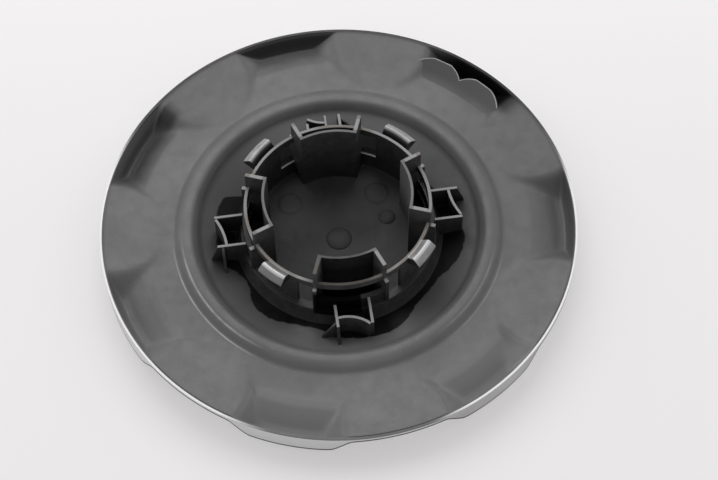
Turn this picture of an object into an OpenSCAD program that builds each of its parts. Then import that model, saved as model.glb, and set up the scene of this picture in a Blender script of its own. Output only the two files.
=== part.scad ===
// Wheel centre cap: a domed disc with seven scallops round its rim and a clip barrel on its back.
// The plated face looks down, the barrel points up, and the cap stands on the flat of its face.

/* [Disc] */
// Turn of the cap about its axis, measured at the key flap
cap_turn = 52.2; // [0:0.1:90]
// Outer diameter of the rim
rim_d = 165; // [120:0.5:200]
// Height of the rim's back edge over the flat of the face
rim_height = 12.5; // [8:0.1:20]
// Width of the bare flat on top of the rim
rim_land = 1.1; // [0.8:0.1:3]
// Wall of the disc
wall = 2.5; // [1.8:0.1:4]
// Depth of the rim's outer band between two scallops
band = 9; // [6:0.1:11]
// Diameter of the flat in the middle of the face
face_d = 60; // [40:0.5:64]
// Diameter of the plain seat for a badge
seat_d = 52; // [30:0.5:58]
// Depth of that seat
seat_depth = 0.6; // [0.3:0.1:1.2]

/* [Raised ring] */
// Diameter of the raised ring, at the middle of its section
bead_d = 106.4; // [96:0.2:116]
// Width of the ring at its foot
bead_w = 7.8; // [6:0.1:10]
// How far its flat top stays below the rim's edge
bead_drop = 0.2; // [0:0.1:3]
// Radius of the edge on its inner side
bead_soft = 2.4; // [1:0.1:2.6]
// Radius of the edge on its outer side
bead_crisp = 1.2; // [0.4:0.1:2]
// Radius of the groove that answers it in the face
groove_r = 1.9; // [1:0.1:2.2]

/* [Scallops] */
// Number of scallops
scallops = 7; // [5:1:9]
// Distance of a scallop's middle inside the rim
scallop_in = 1.5; // [-4:0.5:8]
// Radius of a scallop where it meets the rim's edge
scallop_r = 17.4; // [12:0.1:20]
// Radius gained per millimetre of depth
scallop_flare = 1.03; // [0.5:0.01:1.5]
// Thickness of the rim at a scallop
lip = 1.9; // [1.2:0.1:3]

/* [Key flap] */
// Gap between the flap's two round lobes and the rim
lobe_gap = 3.4; // [3:0.1:6]
// Radius of a lobe
lobe_r = 10.8; // [8:0.1:12]
// Half the angle between the lobes
lobe_half = 6.6; // [4:0.1:8]
// Distance of the flap's foot inside the rim
flap_foot = 15; // [12:0.1:17]
// Thickness of the flap
flap_t = 1.2; // [0.8:0.1:1.6]

/* [Clip barrel] */
// Outer diameter of the hoop and the fingers
hoop_d = 64.2; // [56:0.1:70]
// Thickness of the hoop and the fingers
hoop_t = 1.6; // [1:0.1:2.5]
// Height of the hoop's top over the rim's edge
hoop_top = 12; // [9:0.1:15]
// Height of the hoop itself
hoop_h = 3; // [2:0.1:4]
// Half the angle of a finger
finger_half = 12.2; // [9:0.1:14]
// Half the angle of a hook
hook_half = 9.6; // [6:0.1:12]
// Reach of a hook beyond the hoop
hook_reach = 5; // [3:0.1:6]
// Outer diameter of the collar round the foot
collar_d = 68; // [66:0.1:72]
// Depth of the collar's top below the rim's edge
collar_drop = 2.8; // [1:0.1:4]

/* [Posts] */
// Radius of a post's inner wall
post_r = 24.7; // [20:0.1:27]
// Half the angle of a post
post_half = 21.3; // [15:0.1:25]
// Wall of a post
post_t = 1.5; // [1:0.1:2.5]
// Height of a post's top over the rim's edge
post_top = 18.7; // [14:0.1:24]
// Height over the rim's edge up to which its sides reach past the hoop
ear_top = 9.8; // [6:0.1:11]
// Radius of those sides
ear_r = 34; // [33:0.1:36]
// Height of the sill under a post's opening
sill_top = 3; // [1:0.1:6]
// Radius of the sill
sill_r = 33; // [32.4:0.1:34]

/* [Stand-offs] */
// Distance of a rib from its post's middle line
rib_off = 5.8; // [4:0.1:8]
// Thickness of the ribs
rib_t = 1; // [0.8:0.1:1.6]
// Reach of the ribs from the axis
rib_reach = 42.4; // [38:0.1:46]
// How much further the long rib's foot stands
rib_foot = 2.8; // [0:0.1:4]
// Radius of the hollow between the ribs' ends
scoop_r = 11.6; // [8:0.1:16]
// Distance of the hollow's middle from the axis
scoop_at = 50.4; // [46:0.1:56]
// Its offset from the post's middle line
scoop_off = 3.5; // [0:0.1:6]
// Reach of the corner brace along the disc
brace = 5.2; // [3:0.1:8]

/* [Floor marks] */
// Height of the round marks on the floor
mark_h = 0.5; // [0.3:0.1:0.9]
// Radius of the domed boss in the middle
boss_r = 4.6; // [3:0.1:6]
// Radius of the two flat marks
mark_r = 5.3; // [3:0.1:5.5]
// Radius of the small domed mark
dot_r = 3; // [2:0.1:4]
// Distance of the marks from the axis
mark_at = 19.5; // [14:0.5:20]

/* [Hidden] */
rim_r = rim_d / 2;
face_r = face_d / 2;
bead_at = bead_d / 2;
hoop_r = hoop_d / 2;
hoop_in = hoop_r - hoop_t;
collar_r = collar_d / 2;
floor_z = wall;
bead_top = rim_height - bead_drop;
foot_in = rim_height - 3.9;
foot_out = rim_height - 3.1;
crease_in = bead_at - bead_w / 2;
crease_out = bead_at + bead_w / 2;
scallop_at = rim_r - scallop_in;
lobe_at = rim_r - lobe_gap - lobe_r;
disc_foot_r = 36.4;
disc_foot_z = rim_height - 7.8;
pocket_z = rim_height - band + 0.8 * wall;
pocket_r = rim_r - 3.8;
flap_in = [rim_r - flap_foot - 1, pocket_z + 1.8];
flap_out = [rim_r - 3.7, rim_height + 0.6];
flap_dir = (flap_out - flap_in) / norm(flap_out - flap_in);
flap_under = flap_t * [flap_dir[1], -flap_dir[0]];
hook_crest = 1.6;
hook_low = 3.4;
brace_at = rib_reach - 1.8;
step = 360 / scallops;
first_scallop = step / 2;
first_post = -45;
dot_turn = -28;
mid_rib_at = -0.8;
cyl_fn = 180;

// One point of the section, from its radius and its height over the face
function back_line() = [
    [rim_r - rim_land, rim_height + 1],
    [rim_r - rim_land, rim_height],
    [rim_r - rim_land - 1.2, rim_height - 5],
    [pocket_r, pocket_z],
    [pocket_r - 2.2, pocket_z + 0.1],
    [pocket_r - 6.7, pocket_z + 1.2],
    [pocket_r - 11.7, pocket_z + 2.4],
    [crease_out, foot_out],
    [bead_at, foot_out - 0.4],
    [crease_in, foot_in],
    [disc_foot_r, disc_foot_z],
    [collar_r - 1, disc_foot_z - 0.7],
    [hoop_in, floor_z],
    [0, floor_z]
];

// The full section of the disc between the scallops
module disc_section() {
    difference() {
        polygon([
            [0, 0],
            [face_r, 0],
            [face_r + 2.4, 0.5],
            [bead_at - 4.2, rim_height - 6.4],
            [bead_at, rim_height - 5.8],
            [bead_at + 4.2, rim_height - 5.7],
            [rim_r - 1.6, rim_height - band],
            [rim_r - 0.5, rim_height - band + 0.25],
            [rim_r, rim_height - band + 0.9],
            [rim_r, rim_height],
            [0, rim_height]
        ]);
        polygon(concat(back_line(), [[0, rim_height + 1]]));
    }
}

// Wedge between the pocket's floor and a scallop's back, as a section
module pad_section() {
    polygon([
        [crease_out + 1.4, foot_out - 1.4],
        [crease_out + 1.4, foot_out - 0.6],
        [rim_r - rim_land / 2, rim_height - 0.1],
        [rim_r - rim_land / 2, rim_height - band + 1.2],
        [pocket_r - 4.4, rim_height - band + 1.2]
    ]);
}

// What a scallop takes away from the face, as a section
module hollow_section() {
    polygon([
        [bead_at + 6.4, rim_height - 5.95],
        [rim_r - 1.2, rim_height - lip - 0.5],
        [rim_r + 0.2, rim_height - lip],
        [rim_r + 1, rim_height - lip],
        [rim_r + 1, rim_height - band - 2],
        [bead_at + 6.4, rim_height - band - 2]
    ]);
}

module scallop_cone(shrink) {
    top = rim_height + 0.5;
    depth = band + 2;
    translate([scallop_at, 0, top - depth])
        cylinder(
            h = depth,
            r1 = scallop_r - shrink + scallop_flare * (depth - 0.5),
            r2 = scallop_r - shrink - scallop_flare * 0.5,
            $fn = cyl_fn
        );
}

module ring(r_in, r_out, z0, z1) {
    rotate_extrude($fn = cyl_fn)
        translate([r_in, z0])
            square([r_out - r_in, z1 - z0]);
}

module arc_wall(r_in, r_out, z0, z1, half) {
    rotate([0, 0, -half])
        rotate_extrude(angle = 2 * half, $fn = cyl_fn)
            translate([r_in, z0])
                square([r_out - r_in, z1 - z0]);
}

module disc() {
    difference() {
        union() {
            rotate_extrude($fn = cyl_fn)
                disc_section();
            bead();
            for (i = [0 : scallops - 1])
                rotate([0, 0, first_scallop + i * step])
                    intersection() {
                        rotate([0, 0, -step / 2])
                            rotate_extrude(angle = step, $fn = cyl_fn)
                                pad_section();
                        scallop_cone(0);
                    }
        }
        for (i = [0 : scallops - 1])
            rotate([0, 0, first_scallop + i * step])
                intersection() {
                    rotate([0, 0, -step / 2])
                        rotate_extrude(angle = step, $fn = cyl_fn)
                            hollow_section();
                    scallop_cone(wall * 1.4);
                }
        groove();
        translate([0, 0, -1])
            cylinder(h = 1 + seat_depth, d = seat_d, $fn = cyl_fn);
    }
}

// Points of an arc from one angle to another
function arc_points(centre, r, from, to, n) =
    [for (i = [0 : n]) let(a = from + (to - from) * i / n) centre + r * [cos(a), sin(a)]];

// The raised ring: a flat top with a soft edge inside and a crisp one outside
module bead() {
    soft_at = [crease_in + 1 + bead_soft, bead_top - bead_soft];
    crisp_at = [crease_out - 1.5 - bead_crisp, bead_top - bead_crisp];
    rotate_extrude($fn = cyl_fn)
        polygon(concat(
            [[crease_in, foot_in - 1], [crease_in, foot_in]],
            arc_points(soft_at, bead_soft, 165, 90, 6),
            arc_points(crisp_at, bead_crisp, 90, 10, 5),
            [[crease_out, foot_out], [crease_out, foot_out - 1]]
        ));
}

module groove() {
    translate([0, 0, rim_height - 5.3])
        rotate_extrude($fn = cyl_fn)
            translate([bead_at, 0])
                circle(r = groove_r, $fn = 48);
}

// The flap with two lobes that stands in one pocket and locates the cap
module key_flap() {
    half = lobe_half + 12;
    intersection() {
        rotate([0, 0, -half])
            rotate_extrude(angle = 2 * half, $fn = cyl_fn)
                polygon([flap_in, flap_in + flap_under, flap_out + flap_under, flap_out]);
        union() {
            for (s = [-1, 1])
                rotate([0, 0, s * lobe_half])
                    translate([lobe_at, 0, 0])
                        cylinder(h = rim_height + 4, r = lobe_r, $fn = cyl_fn);
        }
    }
}

// The barrel's wall: a ring with one window across each post, which leaves the hoop and the fingers
module barrel_wall() {
    window_half = 45 - finger_half;
    difference() {
        union() {
            ring(hoop_in, hoop_r, floor_z - 0.5, rim_height + hoop_top);
            rotate_extrude($fn = cyl_fn)
                polygon([
                    [hoop_in + hoop_t / 2, floor_z - 0.4],
                    [hoop_in + hoop_t / 2, rim_height - collar_drop],
                    [collar_r, rim_height - collar_drop],
                    [disc_foot_r, disc_foot_z + 0.05],
                    [disc_foot_r, disc_foot_z - 1],
                    [collar_r, floor_z - 0.2]
                ]);
        }
        for (i = [0 : 3])
            rotate([0, 0, first_post + i * 90])
                arc_wall(
                    hoop_in - 2,
                    disc_foot_r,
                    rim_height - collar_drop - 0.2,
                    rim_height + hoop_top - hoop_h,
                    window_half
                );
    }
}

module hook() {
    rotate([0, 0, -hook_half])
        rotate_extrude(angle = 2 * hook_half, $fn = cyl_fn)
            translate([hoop_r, rim_height + hoop_top])
                polygon([
                    [-hoop_t / 2, -hook_low],
                    [0, -hook_low],
                    [hook_reach, -0.9],
                    [hook_reach, -0.2],
                    [hook_reach / 2, hook_crest],
                    [hook_reach / 2 - 0.4, hook_crest],
                    [0.2, 0],
                    [-hoop_t / 2, -0.1]
                ]);
}

module post() {
    arc_wall(post_r, post_r + post_t, floor_z - 0.5, rim_height + post_top, post_half);
    for (s = [-1, 1])
        rotate([0, 0, s * post_half]) {
            translate([post_r + 0.05, -post_t / 2, floor_z - 0.5])
                cube([hoop_r + 0.2 - post_r - 0.05, post_t, rim_height + post_top - floor_z + 0.5]);
            translate([hoop_r - 0.5, -post_t / 2, floor_z + 0.6])
                cube([ear_r - hoop_r + 0.5, post_t, rim_height + ear_top - floor_z - 0.6]);
        }
    arc_wall(hoop_in + hoop_t / 2, sill_r, rim_height - collar_drop - 0.5, rim_height + sill_top, post_half);
}

// Two ribs and the hollow wall between them; side is +1 or -1, and one stand-off has a middle rib
module stand_off(side, mid_rib) {
    rib_z = disc_foot_z + 0.6;
    top = rim_height + sill_top;
    for (s = [-1, 1])
        translate([0, s * rib_off - rib_t / 2, 0])
            translate([sill_r - 1, 0, rib_z])
                cube([rib_reach - sill_r + 1, rib_t, top - rib_z]);
    translate([0, side * rib_off + rib_t / 2, 0])
        rotate([90, 0, 0])
            linear_extrude(height = rib_t)
                polygon([
                    [rib_reach - 1, top],
                    [rib_reach, top],
                    [rib_reach + rib_foot, rim_height - 5.6],
                    [rib_reach - 1, rim_height - 7]
                ]);
    if (mid_rib)
        translate([sill_r - 1, mid_rib_at - rib_t / 2, rib_z])
            cube([scoop_at - scoop_r + 1 - sill_r, rib_t, top - rib_z]);
    intersection() {
        translate([scoop_at, side * scoop_off, rib_z])
            difference() {
                cylinder(h = top - rib_z, r = scoop_r + rib_t / 2, $fn = cyl_fn);
                translate([0, 0, -1])
                    cylinder(h = top, r = scoop_r - rib_t / 2, $fn = cyl_fn);
            }
        translate([sill_r, -rib_off, 0])
            cube([rib_reach - sill_r, 2 * rib_off, 2 * rim_height]);
    }
    translate([brace_at, side * (rib_off + rib_t / 2 - 0.1), 0])
        mirror([0, side < 0 ? 1 : 0, 0])
            rotate([90, 0, 90])
                translate([0, 0, -rib_t / 2])
                    linear_extrude(height = rib_t)
                        polygon([
                            [0, top],
                            [brace, disc_foot_z + 1.2],
                            [brace, disc_foot_z + 0.6],
                            [0, disc_foot_z + 0.6]
                        ]);
}

// Low round boss with a domed top
module domed(r) {
    ball_r = (r * r + mark_h * mark_h) / (2 * mark_h) + 0.4;
    intersection() {
        translate([0, 0, floor_z + mark_h - ball_r])
            sphere(r = ball_r, $fn = cyl_fn);
        translate([0, 0, floor_z - 0.3])
            cylinder(h = mark_h + 0.6, r = r, $fn = 64);
    }
}

// Low round marks that ejector pins leave on the floor
module floor_marks() {
    domed(boss_r);
    rotate([0, 0, dot_turn])
        translate([mark_at, 0, 0])
            domed(dot_r);
    for (a = [0, 90])
        rotate([0, 0, a])
            translate([mark_at, 0, floor_z - 0.3])
                cylinder(h = mark_h + 0.3, r = mark_r, $fn = 64);
}

module centre_cap() {
    color([0.42, 0.42, 0.43])
        rotate([0, 0, cap_turn]) {
            disc();
            key_flap();
            barrel_wall();
            for (i = [0 : 3])
                rotate([0, 0, first_post + i * 90]) {
                    post();
                    stand_off(i % 2 == 0 ? 1 : -1, i == 1);
                    rotate([0, 0, 45])
                        hook();
                }
            floor_marks();
        }
}

centre_cap();
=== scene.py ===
import math

import bmesh
import bpy
import numpy as np
from mathutils import Matrix, Vector


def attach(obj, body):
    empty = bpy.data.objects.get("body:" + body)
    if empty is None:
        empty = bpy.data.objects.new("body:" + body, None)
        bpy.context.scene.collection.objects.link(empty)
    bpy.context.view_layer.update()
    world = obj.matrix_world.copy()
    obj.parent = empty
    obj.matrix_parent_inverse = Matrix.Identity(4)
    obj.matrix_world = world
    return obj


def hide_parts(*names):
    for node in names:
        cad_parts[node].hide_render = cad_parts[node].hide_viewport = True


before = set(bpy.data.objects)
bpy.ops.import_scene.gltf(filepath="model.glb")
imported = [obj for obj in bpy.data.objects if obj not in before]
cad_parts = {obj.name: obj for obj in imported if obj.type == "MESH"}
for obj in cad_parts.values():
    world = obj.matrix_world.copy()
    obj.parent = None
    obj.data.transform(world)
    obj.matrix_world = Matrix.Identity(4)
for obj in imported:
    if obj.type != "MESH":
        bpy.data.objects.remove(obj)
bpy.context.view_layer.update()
print("frame loaded")

scene = bpy.context.scene
scene.view_settings.view_transform = "Standard"

mm = 0.001
capTurn = 52.2  # degrees the whole cap is turned about its axis
rimHeight = 12.5
floorHeight = 2.5
creaseAngle = 28  # an edge between faces that meet at more than this is sharp


def smoothMax(a, b, k):
    return 0.5 * (a + b + np.sqrt((a - b) ** 2 + k * k))


def smoothMin(a, b, k):
    return 0.5 * (a + b - np.sqrt((a - b) ** 2 + k * k))


# A line through (radius, height) corners, rounded by a bell-shaped average
def softLine(rounding, corners):
    step = 0.05
    r = np.arange(-6, 92, step)
    z = np.interp(np.abs(r), [c[0] for c in corners], [c[1] for c in corners])
    window = np.arange(-4 * rounding, 4 * rounding + 0.01, step)
    weight = np.exp(-0.5 * (window / rounding) ** 2)
    half = len(window) // 2
    z = np.convolve(np.pad(z, half, mode="edge"), weight / weight.sum(), mode="same")
    z = z[half : half + len(r)]
    return lambda q: np.interp(q, r, z)


# Makes an object from points in millimetres, turned about the cap's axis
def makePiece(name, points, faces, materials, faceSlots=None, turn=capTurn):
    mesh = bpy.data.meshes.new(name)
    mesh.from_pydata([tuple(p) for p in np.asarray(points, float)], [], faces)
    mesh.transform(Matrix.Rotation(math.radians(turn), 4, "Z") @ Matrix.Scale(mm, 4))
    for material in materials:
        mesh.materials.append(material)
    if faceSlots is not None:
        mesh.polygons.foreach_set("material_index", faceSlots)
    mesh.polygons.foreach_set("use_smooth", [True] * len(mesh.polygons))
    mesh.validate()
    piece = bpy.data.objects.new(name, mesh)
    scene.collection.objects.link(piece)
    return piece


# Corners of an upright wall's section, as (radius, height)
def upright(inner, outer, foot, top):
    return [(inner, foot), (outer, foot), (outer, top), (inner, top)]


# Adds up closed shells, one after another, into one set of points and faces
class Shells:
    def __init__(self):
        self.points = []
        self.faces = []

    def add(self, points, faces, turn=0.0):
        base = len(self.points)
        c, s = math.cos(math.radians(turn)), math.sin(math.radians(turn))
        self.points += [(x * c - y * s, x * s + y * c, z) for x, y, z in points]
        self.faces += [tuple(base + i for i in f) for f in faces]

    # A section of (radius, height) corners swept from one angle to another
    def sweep(self, section, start, end, steps):
        n = len(section)
        points = []
        for a in np.radians(np.linspace(start, end, steps + 1)):
            points += [(r * math.cos(a), r * math.sin(a), z) for r, z in section]
        faces = [tuple(range(n)), tuple(steps * n + i for i in reversed(range(n)))]
        for j in range(steps):
            for i in range(n):
                k = (i + 1) % n
                faces.append((j * n + i, (j + 1) * n + i, (j + 1) * n + k, j * n + k))
        self.add(points, faces)

    # A section turned all the way round
    def lathe(self, section, steps):
        n = len(section)
        points = []
        for a in np.linspace(0, 2 * math.pi, steps, endpoint=False):
            points += [(r * math.cos(a), r * math.sin(a), z) for r, z in section]
        faces = []
        for j in range(steps):
            for i in range(n):
                k, m = (i + 1) % n, (j + 1) % steps
                faces.append((j * n + i, m * n + i, m * n + k, j * n + k))
        self.add(points, faces)

    # A flat outline in (x, z) with a thickness along y
    def plate(self, outline, y, thick, turn=0.0):
        n = len(outline)
        points = [(x, y + side * thick / 2, z) for side in (-1, 1) for x, z in outline]
        faces = [tuple(range(n)), tuple(n + i for i in reversed(range(n)))]
        faces += [(i, n + i, n + (i + 1) % n, (i + 1) % n) for i in range(n)]
        self.add(points, faces, turn)

    def piece(self, name, materials, edge, segments=2, turn=capTurn, faceSlots=None):
        made = makePiece(name, self.points, self.faces, materials, faceSlots, turn)
        work = bmesh.new()
        work.from_mesh(made.data)
        bmesh.ops.recalc_face_normals(work, faces=work.faces)
        for e in work.edges:
            e.smooth = len(e.link_faces) == 2 and e.calc_face_angle(0) < math.radians(creaseAngle)
        work.to_mesh(made.data)
        work.free()
        if edge:
            bevel = made.modifiers.new("roundEdges", "BEVEL")
            bevel.width = edge * mm
            bevel.segments = segments
            bevel.limit_method = "ANGLE"
            bevel.angle_limit = math.radians(creaseAngle)
            bevel.harden_normals = True
        return made


# Noises of the finishes: scale per metre, detail, roughness
grains = {
    "cloud": (55.0, 3.0, 0.55),
    "fleck": (1500.0, 2.0, 0.7),
    "ragged": (330.0, 3.0, 0.6),
    "dustAndShade": (420.0, 3.0, 0.6),
    "warm": (120.0, 2.0, 0.5),
    "hoopPatch": (70.0, 2.0, 0.5),
    "ringLineBreaks": (180.0, 3.0, 0.6),
    "powder": (150.0, 3.0, 0.6),
    "matt": (240.0, 3.0, 0.6),
    "orangePeel": (420.0, 2.0, 0.5),
    "haze": (160.0, 3.0, 0.6),
    "plateWave": (90.0, 2.0, 0.5),
    "rub": (260.0, 3.0, 0.55),
    "hookGrain": (700.0, 2.0, 0.5),
    "edgeMottle": (380.0, 3.0, 0.6),
    "edgeGrain": (800.0, 2.0, 0.5),
    "flapCloud": (90.0, 3.0, 0.6),
    "floorCloud": (3.0, 2.0, 0.5),
}

# Where each zone of wear, dust, painted light and painted shade lies. A sector is start, end and fade in
# degrees. Two stops run from
# 0 to 1, four run up and down again: x, y, height and radius in millimetres, angle in degrees,
# up and out for how a face leans. The share scales the whole zone.
zones = {
    # barrel, posts and ribs
    "lying": {"up": (0.30, 0.90)},
    "aboveRim": {"height": (11.5, 14.5)},
    "postSill": {"radius": (33.4, 33.1), "height": (17.0, 16.2)},
    "innerWallTop": {"radius": (26.6, 25.8), "share": 0.6},
    "farSide": {"y": (0.0, 12.0)},
    "sillEdge": {"radius": (31.7, 31.4)},
    "hoopTop": {"radius": (30.5, 30.9, 32.5, 32.8)},
    "nearTops": {"sector": (252, 292, 6), "radius": (33.0, 32.7)},
    "underHoop": {"sector": (255, 283, 1), "height": (20.5, 20.0), "radius": (30.5, 30.9, 34.4, 34.7)},
    "rightPostInside": {"x": (16.0, 19.0), "radius": (26.4, 26.0), "out": (-0.3, -0.6)},
    "nearPostOutside": {"y": (-19.0, -22.0), "radius": (27.0, 26.6), "out": (0.3, 0.6)},
    "nearRibsOutside": {"y": (-44.0, -46.0), "radius": (44.0, 45.5), "out": (0.2, 0.6), "share": 0.6},
    "farSill": {"y": (0.0, 12.0), "height": (10.5, 10.2), "radius": (31.4, 31.7)},
    # back of the disc
    "steepWalls": {"radius": (60.0, 64.0, 80.9, 81.5), "y": (-35.0, 30.0)},
    "farFacet": {"sector": (90, 119, 3)},
    "nearFacet": {"sector": (314, 324, 2)},
    "leftPocketWall": {"sector": (138, 172, 3)},
    "leftPocketBottom": {"sector": (145, 166, 5), "radius": (67.0, 76.0, 79.8, 80.9), "share": 0.75},
    "leftPocketCorner": {"sector": (140, 146, 2), "radius": (71.5, 75.0, 79.0, 80.2), "share": 0.85},
    "nearPockets": {"y": (-30.0, -50.0), "radius": (64.0, 68.0, 81.1, 81.5), "share": 0.85},
    "outerSlope": {"out": (-0.10, 0.10)},
    "sideSlope": {"up": (0.97, 0.85), "share": 0.7},
    "highlightStreak": {"sector": (317, 322, 3), "radius": (70.0, 79.0, 80.8, 81.4)},
    "behindFlap": {"sector": (37, 60, 4), "radius": (71.0, 76.5)},
    "rightDarker": {"x": (10.0, 75.0), "y": (-50.0, 0.0), "share": 0.7},
    "dish": {"radius": (49.6, 47.8)},
    "ringLinesLeft": {"sector": (192, 236, 10)},
    "ringLinesRight": {"sector": (312, 345, 8), "share": 0.35},
    "barrelFloor": {"radius": (31.5, 30.5)},
    "powdered": {"sector": (185, 292, 12)},
    "farLand": {"sector": (26, 154, 6), "radius": (81.2, 81.6)},
    "rimLeft": {"sector": (158, 247, 8)},
    "rimNearRight": {"sector": (296, 352, 6)},
    "rimRightStart": {"angle": (348, 354)},
    "rimRightEnd": {"angle": (22, 6)},
    "rimCorner": {"radius": (81.74, 81.86)},
    # plated side
    "plateLeft": {"sector": (166, 208, 8)},
    "plateRight": {"sector": (322, 353, 8)},
    "plateRightEnd": {"angle": (16, 6)},
    "plateNearRight": {"sector": (292, 340, 6), "share": 0.55},
    "plateRim": {"radius": (82.2, 82.4)},
    # hooks
    "nearHalf": {"y": (0.0, -12.0)},
    "leftNearHook": {"y": (0.0, -12.0), "x": (0.0, -10.0), "share": 0.8},
    "crestHighlight": {"height": (25.65, 26.0)},
    "inward": {"out": (-0.05, -0.45)},
    "belowCrest": {"height": (26.1, 25.5)},
    "slopeTop": {"height": (24.8, 26.1)},
    "upperFaces": {"up": (-0.30, 0.15)},
    "standing": {"up": (0.4, 0.2)},
}


# Node helpers: one maker for every finish
class Finish:
    def __init__(self, name, rough=0.5, metal=0.0, specular=0.5):
        self.material = bpy.data.materials.new(name)
        self.material.use_nodes = True
        self.tree = self.material.node_tree
        self.shader = self.tree.nodes["Principled BSDF"]
        self.shader.inputs["Roughness"].default_value = rough
        self.shader.inputs["Metallic"].default_value = metal
        self.shader.inputs["Specular IOR Level"].default_value = specular
        self.place = self.node("ShaderNodeTexCoord").outputs["Object"]

    def node(self, kind, **settings):
        made = self.tree.nodes.new(kind)
        for key, value in settings.items():
            setattr(made, key, value)
        return made

    def join(self, source, target):
        self.tree.links.new(source, target)

    def feed(self, socket, value):
        if isinstance(value, (int, float)):
            socket.default_value = value
        elif isinstance(value, tuple):
            socket.default_value = value if len(value) == len(socket.default_value) else (*value, 1)
        else:
            self.join(value, socket)

    def math(self, operation, a, b=0.0, clamp=False):
        made = self.node("ShaderNodeMath", operation=operation, use_clamp=clamp)
        self.feed(made.inputs[0], a)
        self.feed(made.inputs[1], b)
        return made.outputs[0]

    def vector(self, operation, a, b):
        made = self.node("ShaderNodeVectorMath", operation=operation)
        self.feed(made.inputs[0], a)
        self.feed(made.inputs[1], b)
        return made.outputs["Value" if operation == "DOT_PRODUCT" else "Vector"]

    def parts(self, value):
        made = self.node("ShaderNodeSeparateXYZ")
        self.join(value, made.inputs[0])
        return made.outputs

    def times(self, first, *others):
        for other in others:
            first = self.math("MULTIPLY", first, other)
        return first

    # Masks laid together, 1 at most
    def either(self, first, *others):
        for other in others:
            first = self.math("ADD", first, other, clamp=True)
        return first

    def without(self, mask):
        return self.math("SUBTRACT", 1.0, mask)

    def absolute(self, value):
        return self.math("ABSOLUTE", value)

    def grain(self, name):
        made = self.node("ShaderNodeTexNoise")
        self.join(self.place, made.inputs["Vector"])
        for key, value in zip(("Scale", "Detail", "Roughness"), grains[name]):
            made.inputs[key].default_value = value
        return made.outputs["Fac"]

    # A value moved up and down by a noise
    def shaken(self, value, noise, width):
        swing = self.times(self.math("SUBTRACT", noise, 0.5), width)
        return self.math("ADD", value, swing)

    def mix(self, share, a, b):
        made = self.node("ShaderNodeMix", data_type="RGBA")
        self.feed(made.inputs["Factor"], share)
        self.feed(made.inputs["A"], a)
        self.feed(made.inputs["B"], b)
        return made.outputs["Result"]

    # 0 at low, 1 at high, smooth between
    def between(self, value, low, high, out=(0.0, 1.0)):
        made = self.node("ShaderNodeMapRange", interpolation_type="SMOOTHSTEP")
        self.feed(made.inputs["Value"], value)
        for key, v in (("From Min", low), ("From Max", high), ("To Min", out[0]), ("To Max", out[1])):
            self.feed(made.inputs[key], v)
        return made.outputs["Result"]

    # What the zones are laid out by: place in millimetres, angle and lean of a face
    def measure(self):
        x, y, height = self.parts(self.vector("MULTIPLY", self.place, (1 / mm, 1 / mm, 1 / mm)))
        radius = self.math("SQRT", self.math("ADD", self.times(x, x), self.times(y, y)))
        turns = self.math("DIVIDE", self.math("ARCTAN2", y, x), 2 * math.pi)
        self.turns = self.math("FRACT", self.math("ADD", turns, 1.0))
        normal = self.node("ShaderNodeNewGeometry").outputs["Normal"]
        flat = self.vector("MULTIPLY", self.place, (1.0, 1.0, 0.0))
        self.at = {
            "x": x,
            "y": y,
            "height": height,
            "radius": radius,
            "angle": self.times(self.turns, 360.0),
            "up": self.parts(normal)["Z"],
            # 1 where a face looks straight away from the cap's axis, -1 where it looks at it
            "out": self.vector("DOT_PRODUCT", self.vector("NORMALIZE", flat, (0.0, 0.0, 0.0)), normal),
        }

    # One rule of a zone
    def mask(self, key, stops):
        if key == "share":
            return stops
        if key == "sector":
            start, end, fade = stops
            key, stops = "angle", (start - fade, start + fade, end - fade, end + fade)
        rise = self.between(self.at[key], stops[0], stops[1])
        return self.times(rise, self.between(self.at[key], stops[3], stops[2])) if len(stops) == 4 else rise

    # The named zones laid together
    def zone(self, *names):
        masks = [[self.mask(key, stops) for key, stops in zones[name].items()] for name in names]
        return self.either(*[self.times(*each) for each in masks])

    # 1 on a thin ring of the given radius and half width
    def ringLine(self, radius, half):
        away = self.absolute(self.math("SUBTRACT", self.at["radius"], radius))
        return self.between(away, half, half * 0.3)

    def color(self, value):
        self.feed(self.shader.inputs["Base Color"], value)

    def rough(self, value):
        self.feed(self.shader.inputs["Roughness"], value)

    def specular(self, value):
        self.feed(self.shader.inputs["Specular IOR Level"], value)

    def bump(self, height, strength, distance):
        made = self.node("ShaderNodeBump")
        made.inputs["Strength"].default_value = strength
        made.inputs["Distance"].default_value = distance
        self.join(height, made.inputs["Height"])
        self.join(made.outputs["Normal"], self.shader.inputs["Normal"])


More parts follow.
